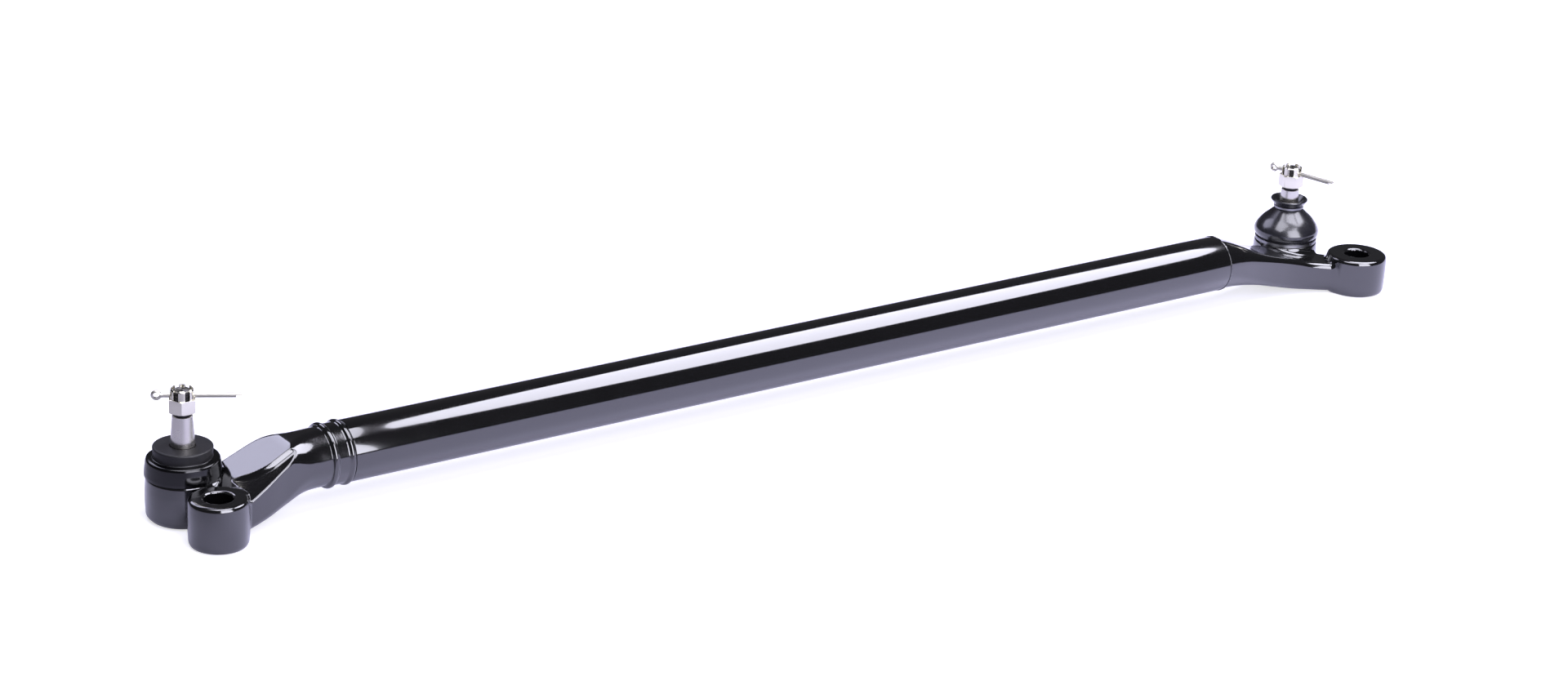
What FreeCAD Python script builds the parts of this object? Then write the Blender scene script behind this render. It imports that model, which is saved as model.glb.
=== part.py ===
import FreeCAD, Part
import math
import os

V = FreeCAD.Vector
UP = V(0, 0, 1)

# Steering center link: a steel tube with a forged end at each side. Each forged end carries
# a ball joint, standing up, and a tapered eye for the stud of a tie rod.
# X runs along the tube, Y to the back, Z up. All sizes are in millimetres and degrees.

# Center tube
tube_diameter = 42.7
tube_wall = 3.6
tube_length = 773.0
tube_axis_height = 35.1

# Spigots that locate the forged ends in the tube, and the beads of the welds
spigot_length = 24.0
spigot_gap = 0.05
spigot_lead = 1.5
bead_radius = 2.0
bead_rise = 1.3
bead_spacing = 12.5
bead_offset = 2.5
seam_step = 0.7
shoulder_step = 0.2

# Arms, from the end of the tube to the axes of the eyes, along X
left_arm_reach = 104.4
right_arm_reach = 129.1
arm_step = 1.15
round_corner = 0.985

# Stations of the arms between the round part and the eye, evenly spaced:
# top, bottom, front, rear and corner radius, the sides measured from the tube's axis
left_arm_stations = [
    (26.0, 2.0, -24.0, 24.0, 6.0),
    (33.0, 4.0, -28.0, 25.0, 5.5),
    (43.0, 8.5, -26.5, 22.5, 5.5),
    (51.0, 13.0, -23.0, 21.0, 9.0),
    (54.2, 14.6, -20.6, 20.4, 18.0),
]
right_arm_stations = [
    (49.2, 15.2, -18.2, 19.6, 14.0),
    (41.0, 13.6, -16.4, 20.5, 8.0),
    (34.6, 9.6, -15.8, 23.5, 5.0),
    (30.0, 5.2, -16.8, 26.0, 4.6),
    (25.6, 2.6, -21.5, 22.0, 4.6),
    (23.8, 1.6, -31.0, 6.0, 4.6),
    (23.0, 1.2, -40.0, -12.0, 4.6),
]

# Sloping flat on top of the left arm, and the lower shelf in front of it
flat_start = 41.0
flat_slope = 28.0
shelf_drop = 4.7
shelf_wall = 14.0
shelf_wall_spread = 1.4
shelf_turn = 68.5
shelf_end = 83.5

# Tapered eyes, in front of the tube's axis
left_eye_offset = 24.7
left_eye_radius = 20.8
left_eye_height = 33.2
right_eye_offset = 26.6
right_eye_radius = 24.2
right_eye_height = 30.2
eye_mouth_diameter = 19.5
eye_taper = 1 / 8
eye_chamfer = 1.6
eye_draft = 1.0
eye_parting_height = 15.0

# Ball joint housings, behind the tube's axis
joint_offset = 26.0
right_joint_setback = 28.8
housing_radius = 25.8
housing_height = 30.9
housing_draft = 0.9
housing_foot_chamfer = 3.2
collar_radius = 21.0
collar_height = 3.2
boot_room = 0.7

# Ball, its seats and its mouth
ball_radius = 12.5
ball_height = 20.6
seat_wall = 4.4
seat_hold_angle = 60.0
tilt_limit = 20.0
mouth_clearance = 0.6
running_gap = 0.1
seat_split = 0.6
grease_hole_radius = 3.5
roof_thickness = 2.6

# Cap and preload spring under the ball
lip_height = 1.2
lip_overlap = 1.2
cap_thickness = 2.9
cap_radius = 19.35
cap_dish = 0.8
spring_thickness = 1.0
spring_inner_radius = 8.0
seat_floor = 1.7
face_gap = 0.05

# Ball stud above the ball
neck_radius = 7.5
nut_seat_height = 75.6
taper_length = 25.0
taper_end_radius = 6.8
stud_taper = 1 / 8
thread_radius = 6.0
thread_length = 15.4
thread_gap = 0.05
stud_end_chamfer = 1.0

# Castle nut
nut_across_flats = 17.0
nut_height = 16.4
nut_crown_height = 6.8
nut_crown_radius = 7.9
nut_slot_width = 3.7
nut_chamfer = 1.0
nut_slot_count = 6

# Split pin
pin_radius = 1.6
pin_gap = 0.15
pin_slit = 0.3
pin_head_reach = 14.5
pin_leg_reach = 39.0
pin_short_leg = 4.0
pin_loop_radius = 2.7
pin_wire_radius = 0.85
left_pin_azimuth = -28.6
right_pin_azimuth = -76.0

# Dust boots and their rings
boot_wall = 1.8
boot_bead = 2.2
boot_bead_height = 3.6
boot_stud_gap = 0.3
boot_lip_wall = 2.2
boot_skirt_gap = 0.15
boot_dome_share = 0.457
boot_dome_drop = 0.4
base_ring_wall = 1.2
base_ring_height = 2.2
neck_ring_wall = 1.3
neck_ring_height = 1.6
left_boot_radius = 25.3
left_boot_top = 51.6
left_boot_step_height = 43.6
left_boot_step_radius = 20.3
right_boot_radius = 25.6
right_boot_widest_height = 38.0
right_boot_neck_height = 58.0
right_boot_lip_height = 65.2
right_boot_lip_radius = 14.8

# Places that follow from the sizes, with the origin at the middle of the part's foot
total_length = left_arm_reach + housing_radius + tube_length + right_arm_reach + right_eye_radius
left_x = housing_radius - total_length / 2
tube_left_x = left_x + left_arm_reach
tube_right_x = tube_left_x + tube_length
right_eye_x = tube_right_x + right_arm_reach
right_joint_x = right_eye_x - right_joint_setback
axis_y = (right_eye_offset + right_eye_radius - joint_offset - housing_radius) / 2
joint_y = axis_y + joint_offset
left_eye_y = axis_y - left_eye_offset
right_eye_y = axis_y - right_eye_offset

arm_radius = tube_diameter / 2 - arm_step
bore_radius = ball_radius + seat_wall
collar_top = housing_height + collar_height
hold_height = ball_radius * math.cos(math.radians(seat_hold_angle))
seat_bottom = ball_height - ball_radius - running_gap - seat_floor
cap_bottom = lip_height + face_gap
cap_top = cap_bottom + cap_thickness
roof_bottom = collar_top - collar_height - roof_thickness
shoulder_radius = taper_end_radius + taper_length * stud_taper / 2
taper_start = nut_seat_height - taper_length
slot_floor = nut_seat_height + nut_height - nut_crown_height
pin_height = slot_floor + pin_radius + pin_gap


def mouth_radius(height):
    """Radius of the cone that the leaning stud needs, at a height above the foot."""
    lean = math.radians(tilt_limit)
    rise = height - ball_height
    return (neck_radius + rise * math.sin(lean)) / math.cos(lean) + mouth_clearance


def run_edge(points):
    """A line through two points, an arc through three, or a smooth curve through more."""
    if len(points) == 2:
        return Part.LineSegment(*points).toShape()
    if len(points) == 3:
        return Part.Arc(*points).toShape()
    curve = Part.BSplineCurve()
    curve.interpolate(points)
    return curve.toShape()


def turned(x, y, runs):
    """Solid of revolution about the upright axis at x, y, from runs of (radius, height)."""
    edges = [run_edge([V(radius, 0, height) for radius, height in run]) for run in runs]
    solid = Part.Face(Part.Wire(edges)).revolve(V(0, 0, 0), UP, 360)
    solid.translate(V(x, y, 0))
    return solid


def turned_outline(x, y, corners):
    """Solid of revolution whose outline has straight runs between its corners."""
    closed = corners + corners[:1]
    return turned(x, y, [closed[i:i + 2] for i in range(len(corners))])


def rounded_section(x, y, height, width, depth, corner):
    """Rounded rectangle across the link at x: width along Y, depth along Z."""
    half_w, half_d = width / 2, depth / 2
    centres = [(half_w - corner, half_d - corner), (corner - half_w, half_d - corner),
               (corner - half_w, corner - half_d), (half_w - corner, corner - half_d)]
    arcs = []
    for quarter, (cy, cz) in enumerate(centres):
        points = []
        for step in range(3):
            angle = math.radians(90 * quarter + 45 * step)
            points.append(V(x, y + cy + corner * math.cos(angle), height + cz + corner * math.sin(angle)))
        arcs.append(points)
    edges = []
    for quarter, points in enumerate(arcs):
        edges.append(Part.Arc(*points).toShape())
        edges.append(Part.LineSegment(points[2], arcs[(quarter + 1) % 4][0]).toShape())
    return Part.Wire(edges)


def arm_between(start_x, end_x, stations):
    """Smooth loft along an arm from x to x, through its stations, spaced evenly."""
    sections = []
    for number, (top, bottom, front, rear, corner) in enumerate(stations):
        x = start_x + (end_x - start_x) * number / (len(stations) - 1)
        sections.append(rounded_section(
            x, axis_y + (front + rear) / 2, (top + bottom) / 2, rear - front, top - bottom, corner))
    return Part.makeLoft(sections, True, False)


def round_station():
    """Station of an arm where it is round, on the tube's axis, to meet the tube."""
    top, bottom = tube_axis_height + arm_radius, tube_axis_height - arm_radius
    return top, bottom, -arm_radius, arm_radius, arm_radius * round_corner


def left_arm():
    """Forged arm that drops from the tube and spreads to the left housing and eye."""
    stations = left_arm_stations + [round_station(), round_station()]
    return arm_between(left_x, tube_left_x, stations)


def right_arm():
    """Forged arm that drops from the tube, passes the right housing and bends to the eye."""
    return arm_between(tube_right_x, right_eye_x, [round_station()] + right_arm_stations)


def eye_body(x, y, radius, height):
    """Forged boss of an eye, with draft above and below its parting line."""
    return turned_outline(x, y, [
        (0, 0),
        (radius - eye_draft - eye_chamfer, 0),
        (radius - eye_draft, eye_chamfer),
        (radius, eye_parting_height),
        (radius - eye_draft / 2, height - eye_chamfer),
        (radius - eye_draft / 2 - eye_chamfer, height),
        (0, height),
    ])


def eye_bore(x, y, height):
    """Tapered hole of an eye, widest at the top, with a small chamfer at its mouth."""
    mouth = eye_mouth_diameter / 2
    past = 1.0
    slope = eye_taper / 2
    cone = turned_outline(x, y, [
        (0, -past), (mouth - (height + past) * slope, -past),
        (mouth + past * slope, height + past), (0, height + past)])
    countersink = turned_outline(x, y, [
        (0, height - past), (mouth, height - past), (mouth + 2 * past, height + past), (0, height + past)])
    return cone.fuse(countersink)


def housing_body(x):
    """Outer form of a ball joint housing with the collar that holds the boot."""
    return turned_outline(x, joint_y, [
        (0, 0),
        (housing_radius - housing_draft - housing_foot_chamfer, 0),
        (housing_radius - housing_draft, housing_foot_chamfer),
        (housing_radius, housing_height * 0.55),
        (housing_radius - housing_draft, housing_height - 1),
        (housing_radius - housing_draft - 1, housing_height),
        (collar_radius, housing_height),
        (collar_radius, collar_top),
        (0, collar_top),
    ])


def housing_cavity(x):
    """Hollow of a housing: rolled lip, room for the cap, bore for the seats, and mouth."""
    past = 1.0
    return turned_outline(x, joint_y, [
        (0, -past),
        (cap_radius - lip_overlap, -past),
        (cap_radius - lip_overlap, lip_height),
        (cap_radius + face_gap, lip_height),
        (cap_radius + face_gap, cap_top + face_gap),
        (bore_radius, cap_top + face_gap),
        (bore_radius, roof_bottom),
        (mouth_radius(roof_bottom), roof_bottom),
        (mouth_radius(collar_top + past), collar_top + past),
        (0, collar_top + past),
    ])


def upper_clearance(x, y, radius, height):
    """Room above a face, cut out of the arm where it meets a boss."""
    return Part.makeCylinder(radius, tube_diameter, V(x, y, height), UP)


def above_flat(drop):
    """Space above the sloping flat on the left arm, or above a plane lower than it by a drop."""
    span = 4 * tube_diameter
    block = Part.makeBox(2 * span, span, span, V(-span, -span / 2, -drop))
    block.rotate(V(0, 0, 0), V(0, 1, 0), -flat_slope)
    block.translate(V(tube_left_x - flat_start, axis_y, tube_axis_height + arm_radius))
    return block


def shelf_cut():
    """Space above the shelf, in front of the flat's edge, which turns back near the housing."""
    plan = [(0, -2 * tube_diameter), (0, -shelf_wall), (shelf_turn, -shelf_wall - shelf_wall_spread),
            (shelf_end, 0), (shelf_end, -2 * tube_diameter)]
    corners = [V(tube_left_x - along, axis_y + across, 0) for along, across in plan]
    prism = Part.Face(Part.makePolygon(corners + corners[:1])).extrude(V(0, 0, 3 * tube_diameter))
    return prism.common(above_flat(shelf_drop))


def spigot(x, direction):
    """Turned end of a forging that fits in the bore of the tube."""
    radius = tube_diameter / 2 - tube_wall - spigot_gap
    root = 2.0
    body = Part.makeCylinder(radius, spigot_length + root, V(x - direction * root, axis_y, tube_axis_height),
                             V(direction, 0, 0))
    lead = body.Edges
    rims = [edge for edge in lead if abs(edge.CenterOfMass.x - x - direction * spigot_length) < 0.01]
    return body.makeChamfer(spigot_lead, rims)


def collar(x, direction, length, radius):
    """Round shoulder of a forging that stands against the end of the tube."""
    return Part.makeCylinder(radius, length, V(x, axis_y, tube_axis_height), V(direction, 0, 0))


def weld_bead(x):
    """Rounded ring of upset metal around the joint."""
    major = tube_diameter / 2 + bead_rise - bead_radius
    return Part.makeTorus(major, bead_radius, V(x, axis_y, tube_axis_height), V(1, 0, 0))


def left_forged_end():
    """Left forging: spigot, weld beads, arm, ball joint housing and tapered eye."""
    body = left_arm().cut(above_flat(0)).cut(shelf_cut())
    body = body.cut(upper_clearance(left_x, joint_y, housing_radius + boot_room, housing_height))
    body = body.cut(upper_clearance(left_x, left_eye_y, left_eye_radius, left_eye_height))
    body = body.fuse(collar(tube_left_x, -1, bead_offset + bead_spacing + bead_radius / 2,
                            tube_diameter / 2 - shoulder_step))
    for number in range(2):
        body = body.fuse(weld_bead(tube_left_x - bead_offset - number * bead_spacing))
    body = body.fuse(spigot(tube_left_x, 1))
    body = body.fuse(eye_body(left_x, left_eye_y, left_eye_radius, left_eye_height))
    body = body.fuse(housing_body(left_x))
    return body.cut(housing_cavity(left_x)).cut(eye_bore(left_x, left_eye_y, left_eye_height))


def right_forged_end():
    """Right forging: spigot, stepped seam, arm, ball joint housing and tapered eye."""
    body = right_arm()
    body = body.cut(upper_clearance(right_joint_x, joint_y, housing_radius + boot_room, housing_height))
    body = body.cut(upper_clearance(right_eye_x, right_eye_y, right_eye_radius, right_eye_height))
    body = body.fuse(collar(tube_right_x, 1, 2 * seam_step, tube_diameter / 2 + seam_step / 2))
    body = body.fuse(spigot(tube_right_x, -1))
    body = body.fuse(eye_body(right_eye_x, right_eye_y, right_eye_radius, right_eye_height))
    body = body.fuse(housing_body(right_joint_x))
    return body.cut(housing_cavity(right_joint_x)).cut(eye_bore(right_eye_x, right_eye_y, right_eye_height))


def center_tube():
    """Drawn steel tube between the forged ends."""
    foot = V(tube_left_x, axis_y, tube_axis_height)
    outer = Part.makeCylinder(tube_diameter / 2, tube_length, foot, V(1, 0, 0))
    return outer.cut(Part.makeCylinder(tube_diameter / 2 - tube_wall, tube_length, foot, V(1, 0, 0)))


def socket_cap(x):
    """Pressed steel cap that closes the foot of a housing, dished in its middle."""
    dish = cap_radius * 0.7
    return turned_outline(x, joint_y, [
        (0, cap_bottom + cap_dish), (dish, cap_bottom + cap_dish), (dish + cap_dish, cap_bottom),
        (cap_radius, cap_bottom), (cap_radius, cap_top), (0, cap_top)])


def preload_spring(x):
    """Dished spring washer that presses the lower seat up against the ball."""
    low = cap_top + face_gap
    high = seat_bottom - face_gap
    outer = bore_radius - 1
    return turned_outline(x, joint_y, [
        (outer, low), (outer, low + spring_thickness),
        (spring_inner_radius, high), (spring_inner_radius, high - spring_thickness)])


def ball_space(x, gap):
    """Sphere about the middle of the ball, larger by a gap."""
    return Part.makeSphere(ball_radius + gap, V(x, joint_y, ball_height))


def lower_seat(x):
    """Plastic cup under the ball, with a grease hole."""
    top = ball_height - seat_split
    cup = turned_outline(x, joint_y, [
        (grease_hole_radius, seat_bottom), (bore_radius - face_gap, seat_bottom),
        (bore_radius - face_gap, top), (grease_hole_radius, top)])
    return cup.cut(ball_space(x, running_gap))


def ball_seat(x):
    """Plastic ring that holds the ball down and opens in a cone for the leaning stud."""
    bottom = ball_height
    top = roof_bottom - running_gap
    hold = ball_height + hold_height
    ring = turned_outline(x, joint_y, [
        (neck_radius, bottom), (bore_radius - running_gap, bottom), (bore_radius - running_gap, top),
        (mouth_radius(top), top), (mouth_radius(hold), hold), (neck_radius, hold)])
    return ring.cut(ball_space(x, running_gap))


def ball_stud(x, pin_azimuth):
    """Ball, neck, tapered shank and threaded end, with a cross hole for the split pin."""
    lean = math.radians(tilt_limit)
    neck_end = ((collar_top - ball_height) + shoulder_radius * math.sin(lean)) / math.cos(lean)
    neck_top = ball_height + neck_end + mouth_clearance
    flare_top = neck_top + 2 * (shoulder_radius - neck_radius)
    end = nut_seat_height + thread_length
    shank = turned_outline(x, joint_y, [
        (0, ball_height), (neck_radius, ball_height), (neck_radius, neck_top),
        (shoulder_radius, flare_top), (shoulder_radius, taper_start),
        (taper_end_radius, nut_seat_height - 1), (thread_radius, nut_seat_height - face_gap),
        (thread_radius, end - stud_end_chamfer), (thread_radius - stud_end_chamfer, end), (0, end)])
    hole = cross_bar(x, pin_radius + pin_gap, -2 * thread_radius, 2 * thread_radius, pin_azimuth)
    return ball_space(x, 0).fuse(shank).cut(hole)


def cross_bar(x, radius, start, end, azimuth):
    """Round bar at the height of the split pin, along the pin's azimuth."""
    angle = math.radians(azimuth)
    along = V(math.cos(angle), math.sin(angle), 0)
    return Part.makeCylinder(radius, end - start, V(x, joint_y, pin_height) + along * start, along)


def castle_nut(x, pin_azimuth):
    """Hexagon nut with a slotted crown, one slot pair in line with the split pin."""
    bottom, top = nut_seat_height, nut_seat_height + nut_height
    corner_radius = nut_across_flats / math.sqrt(3)
    corners = [V(corner_radius * math.cos(math.radians(60 * n + 30)),
                 corner_radius * math.sin(math.radians(60 * n + 30)), bottom) for n in range(7)]
    hexagon = Part.Face(Part.makePolygon(corners)).extrude(V(0, 0, nut_height))
    envelope = turned_outline(0, 0, [
        (0, bottom), (corner_radius - nut_chamfer, bottom), (corner_radius, bottom + nut_chamfer / 2),
        (corner_radius, slot_floor - nut_chamfer / 2), (corner_radius - nut_chamfer, slot_floor),
        (nut_crown_radius, slot_floor), (nut_crown_radius, top - nut_chamfer),
        (nut_crown_radius - nut_chamfer, top), (0, top)])
    nut = hexagon.common(envelope)
    nut = nut.cut(Part.makeCylinder(thread_radius + thread_gap, nut_height, V(0, 0, bottom), UP))
    for number in range(nut_slot_count // 2):
        slot = Part.makeBox(2 * nut_across_flats, nut_slot_width, nut_crown_height,
                            V(-nut_across_flats, -nut_slot_width / 2, slot_floor))
        slot.rotate(V(0, 0, 0), UP, 360 * number / nut_slot_count)
        nut = nut.cut(slot)
    nut.rotate(V(0, 0, 0), UP, pin_azimuth)
    nut.translate(V(x, joint_y, 0))
    return nut


def cotter_pin(x, azimuth):
    """Split pin: a wire loop at the head and two straight legs, one longer."""
    legs = Part.makeCylinder(pin_radius, pin_head_reach + pin_leg_reach, V(-pin_head_reach, 0, 0), V(1, 0, 0))
    slit = Part.makeBox(pin_leg_reach + pin_head_reach, 4 * pin_radius, pin_slit,
                        V(1 - pin_head_reach, -2 * pin_radius, -pin_slit / 2))
    shorter = Part.makeBox(pin_short_leg, 4 * pin_radius, 2 * pin_radius,
                           V(pin_leg_reach - pin_short_leg, -2 * pin_radius, -2 * pin_radius))
    loop = Part.makeTorus(pin_loop_radius, pin_wire_radius,
                          V(-pin_head_reach - pin_loop_radius, 0, 0), V(0, 1, 0))
    pin = legs.cut([slit, shorter]).fuse(loop)
    pin.rotate(V(0, 0, 0), UP, azimuth)
    pin.translate(V(x, joint_y, pin_height))
    return pin


def stud_radius_at(height):
    """Radius of the stud at a height above the foot, on its shoulder or its taper."""
    return shoulder_radius - max(0, height - taper_start) * stud_taper / 2


def base_bead(inner, outer):
    """Corners of the boot's foot, from inside to outside, standing on the housing."""
    return inner, outer, housing_height + face_gap, housing_height + boot_bead_height


def left_boot():
    """Pressed-down rubber boot: full bellows, a step, and a flat top around the stud."""
    inner, outer, foot, bead_top = base_bead(collar_radius + face_gap, collar_radius + boot_bead)
    lip = shoulder_radius + boot_stud_gap
    top, step = left_boot_top, left_boot_step_height
    full, waist = left_boot_radius, left_boot_step_radius
    skirt = outer + base_ring_wall + boot_skirt_gap
    ring_top = foot + base_ring_height + boot_skirt_gap
    wall = boot_wall
    return turned(left_x, joint_y, [
        [(inner, foot), (outer, foot)],
        [(outer, foot), (outer, ring_top)],
        [(outer, ring_top), (skirt, ring_top)],
        [(skirt, ring_top), (skirt, foot)],
        [(skirt, foot), (full, foot)],
        [(full, foot), (full, bead_top)],
        [(full, bead_top), (full + 0.4, (bead_top + step) / 2), (full - 1.0, step - 1.6)],
        [(full - 1.0, step - 1.6), (full - 2.0, step - 0.4), (waist - 0.6, step + 0.6)],
        [(waist - 0.6, step + 0.6), (waist, step + 1.6)],
        [(waist, step + 1.6), (waist, top - 0.9)],
        [(waist, top - 0.9), (waist - 0.9, top)],
        [(waist - 0.9, top), (lip, top)],
        [(lip, top), (lip, top - boot_lip_wall - neck_ring_height)],
        [(lip, top - boot_lip_wall - neck_ring_height),
         (lip + boot_lip_wall, top - boot_lip_wall - neck_ring_height)],
        [(lip + boot_lip_wall, top - boot_lip_wall - neck_ring_height), (lip + boot_lip_wall, top - wall)],
        [(lip + boot_lip_wall, top - wall), (waist - wall, top - wall)],
        [(waist - wall, top - wall), (waist - wall - 0.4, step - 0.6)],
        [(waist - wall - 0.4, step - 0.6), (full - wall - 1.6, step - 2.4)],
        [(full - wall - 1.6, step - 2.4), (full - wall + 0.3, (bead_top + step) / 2),
         (full - wall - 0.6, bead_top + 1.6)],
        [(full - wall - 0.6, bead_top + 1.6), (inner, bead_top)],
        [(inner, bead_top), (inner, foot)],
    ])


def right_boot():
    """Standing rubber boot: a wide rounded foot, a cone, a neck and an open flared lip."""
    inner, outer, foot, bead_top = base_bead(collar_radius + face_gap, collar_radius + boot_bead)
    neck = right_boot_neck_height
    grip = stud_radius_at(neck - 2) + boot_stud_gap
    groove = grip + boot_lip_wall
    full, wide = right_boot_radius, right_boot_widest_height
    lip, rim = right_boot_lip_height, right_boot_lip_radius
    dome_radius = groove + boot_dome_share * (full - groove)
    dome_height = neck - boot_dome_drop * (neck - wide)
    wall = boot_wall
    return turned(right_joint_x, joint_y, [
        [(inner, foot), (outer, foot)],
        [(outer, foot), (outer, bead_top - 0.9)],
        [(outer, bead_top - 0.9), (full - 0.7, wide - 1.8)],
        [(full - 0.7, wide - 1.8), (full, wide), (full - 0.7, wide + 3.4)],
        [(full - 0.7, wide + 3.4), (dome_radius, dome_height), (groove, neck - 1.2)],
        [(groove, neck - 1.2), (groove, neck + neck_ring_height)],
        [(groove, neck + neck_ring_height), (groove + 1.2, neck + neck_ring_height + 0.6)],
        [(groove + 1.2, neck + neck_ring_height + 0.6), (rim, lip - 1.0)],
        [(rim, lip - 1.0), (rim - 0.3, lip)],
        [(rim - 0.3, lip), (rim - 1.3, lip)],
        [(rim - 1.3, lip), (grip, neck + neck_ring_height - 0.6)],
        [(grip, neck + neck_ring_height - 0.6), (grip, neck - 2)],
        [(grip, neck - 2), (dome_radius - 1.2 * wall, dome_height - 0.3 * wall),
         (full - wall - 0.9, wide + 2.4)],
        [(full - wall - 0.9, wide + 2.4), (full - wall, wide), (full - wall - 0.8, wide - 1.2)],
        [(full - wall - 0.8, wide - 1.2), (inner, bead_top)],
        [(inner, bead_top), (inner, foot)],
    ])


def boot_base_ring(x):
    """Steel band that clamps the foot of a boot to the collar."""
    inner = collar_radius + boot_bead + face_gap
    bottom = housing_height + face_gap
    return turned_outline(x, joint_y, [
        (inner, bottom), (inner + base_ring_wall, bottom),
        (inner + base_ring_wall, bottom + base_ring_height), (inner, bottom + base_ring_height)])


def boot_neck_ring(x, grip, bottom):
    """Steel ring that holds the neck of a boot to the stud."""
    inner = grip + boot_lip_wall + face_gap
    return turned_outline(x, joint_y, [
        (inner, bottom), (inner + neck_ring_wall, bottom),
        (inner + neck_ring_wall, bottom + neck_ring_height - 0.1), (inner, bottom + neck_ring_height - 0.1)])


def left_neck_ring():
    """Ring inside the pressed-down boot, around its turned-in lip."""
    bottom = left_boot_top - boot_lip_wall - neck_ring_height
    return boot_neck_ring(left_x, shoulder_radius + boot_stud_gap, bottom)


def right_neck_ring():
    """Ring in the groove under the flared lip of the standing boot."""
    grip = stud_radius_at(right_boot_neck_height - 2) + boot_stud_gap
    return boot_neck_ring(right_joint_x, grip, right_boot_neck_height + 0.05)


def joint_pieces(side, x, pin_azimuth):
    """The pieces that are alike in both ball joints."""
    return {
        side + "_socket_cap": socket_cap(x),
        side + "_preload_spring": preload_spring(x),
        side + "_lower_seat": lower_seat(x),
        side + "_ball_seat": ball_seat(x),
        side + "_ball_stud": ball_stud(x, pin_azimuth),
        side + "_castle_nut": castle_nut(x, pin_azimuth),
        side + "_cotter_pin": cotter_pin(x, pin_azimuth),
        side + "_boot_base_ring": boot_base_ring(x),
    }


def main():
    """Build every piece and write one STEP file for each."""
    pieces = {
        "center_tube": center_tube(),
        "left_forged_end": left_forged_end(),
        "right_forged_end": right_forged_end(),
        "left_dust_boot": left_boot(),
        "right_dust_boot": right_boot(),
        "left_boot_neck_ring": left_neck_ring(),
        "right_boot_neck_ring": right_neck_ring(),
    }
    pieces.update(joint_pieces("left", left_x, left_pin_azimuth))
    pieces.update(joint_pieces("right", right_joint_x, right_pin_azimuth))
    os.makedirs("parts", exist_ok=True)
    for name, shape in pieces.items():
        solid = shape.removeSplitter()
        solid.exportStep("parts/" + name + ".step")
        print(name, "solids", len(solid.Solids), "valid", solid.isValid(), "volume", round(solid.Volume, 1))


main()
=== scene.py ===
import logging
import math
from collections.abc import Callable
from dataclasses import dataclass, field
from enum import Enum

import bmesh
import bpy
import numpy as np
from mathutils import Matrix, Vector


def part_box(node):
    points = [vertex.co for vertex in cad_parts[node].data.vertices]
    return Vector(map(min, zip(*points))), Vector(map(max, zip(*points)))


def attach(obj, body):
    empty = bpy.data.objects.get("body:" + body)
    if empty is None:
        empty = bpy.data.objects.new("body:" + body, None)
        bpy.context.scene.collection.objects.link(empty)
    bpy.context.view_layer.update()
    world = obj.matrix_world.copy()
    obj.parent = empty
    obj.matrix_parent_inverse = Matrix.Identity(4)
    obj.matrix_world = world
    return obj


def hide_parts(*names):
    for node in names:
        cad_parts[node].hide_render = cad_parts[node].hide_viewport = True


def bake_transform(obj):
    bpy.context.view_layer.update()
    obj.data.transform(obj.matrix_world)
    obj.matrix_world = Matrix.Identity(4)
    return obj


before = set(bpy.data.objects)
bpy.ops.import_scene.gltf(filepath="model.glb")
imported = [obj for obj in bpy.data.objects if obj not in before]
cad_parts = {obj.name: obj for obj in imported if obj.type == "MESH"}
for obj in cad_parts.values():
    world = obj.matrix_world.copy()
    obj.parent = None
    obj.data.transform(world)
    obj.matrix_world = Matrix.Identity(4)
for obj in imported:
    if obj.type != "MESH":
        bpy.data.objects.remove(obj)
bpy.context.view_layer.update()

MM = 0.001
# In metres: points of a new mesh this near are merged, edges this short are dropped, and points
# of a CAD mesh's loose triangles are merged below the third length.
TOUCHING = 1e-7
NO_LENGTH = 1e-8
DOUBLES = 2e-6
# Faces that turn by less than the first are one flat, and edges that turn by more than the
# second are rounded.
FLAT_ANGLE = math.radians(0.5)
EDGE_ANGLE = math.radians(35)
LOG = logging.getLogger("center_link")


class Side(Enum):
    """The two ends of the link, with the azimuth in degrees at which each split pin lies."""

    LEFT = ("left", -28.6)
    RIGHT = ("right", -76.0)

    @property
    def word(self) -> str:
        """The word that the names of this side's pieces start with."""
        return self.value[0]

    @property
    def pin_azimuth(self) -> float:
        """Direction of the split pin's legs, in radians."""
        return math.radians(self.value[1])


def linear(code: str) -> tuple[float, float, float, float]:
    """Turn an sRGB hex colour to linear values with full alpha.

    Args:
        code: Six hex digits after a hash sign.

    Returns:
        Red, green, blue and alpha for a Blender colour socket.
    """
    parts = [int(code[i:i + 2], 16) / 255 for i in (1, 3, 5)]
    red, green, blue = [c / 12.92 if c <= 0.04045 else ((c + 0.055) / 1.055) ** 2.4 for c in parts]
    return red, green, blue, 1.0


def add_node(tree: bpy.types.NodeTree, kind: str, sockets: dict, **settings) -> bpy.types.Node:
    """Add a node, set its properties, and set or link its inputs.

    Args:
        tree: Node tree of a material or the world.
        kind: Blender's name of the node type.
        sockets: Input name or index to a value, or to the output socket that feeds it.
        settings: Properties of the node itself.

    Returns:
        The new node.
    """
    node = tree.nodes.new(kind)
    for name, value in settings.items():
        setattr(node, name, value)
    for name, value in sockets.items():
        if isinstance(value, bpy.types.NodeSocket):
            tree.links.new(value, node.inputs[name])
        else:
            node.inputs[name].default_value = value
    return node


def empty_tree(owner: bpy.types.Material | bpy.types.World) -> bpy.types.NodeTree:
    """Node tree of a new material or world, cleared of the nodes that it starts with.

    Args:
        owner: The material or world.

    Returns:
        Its empty node tree.
    """
    owner.use_nodes = True
    owner.node_tree.nodes.clear()
    return owner.node_tree


def placed(name: str, data: bpy.types.ID) -> bpy.types.Object:
    """Make an object for a mesh, a lamp or a camera, and link it to the scene.

    Args:
        name: Name of the object.
        data: What the object shows.

    Returns:
        The new object.
    """
    made = bpy.data.objects.new(name, data)
    bpy.context.scene.collection.objects.link(made)
    return made


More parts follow.
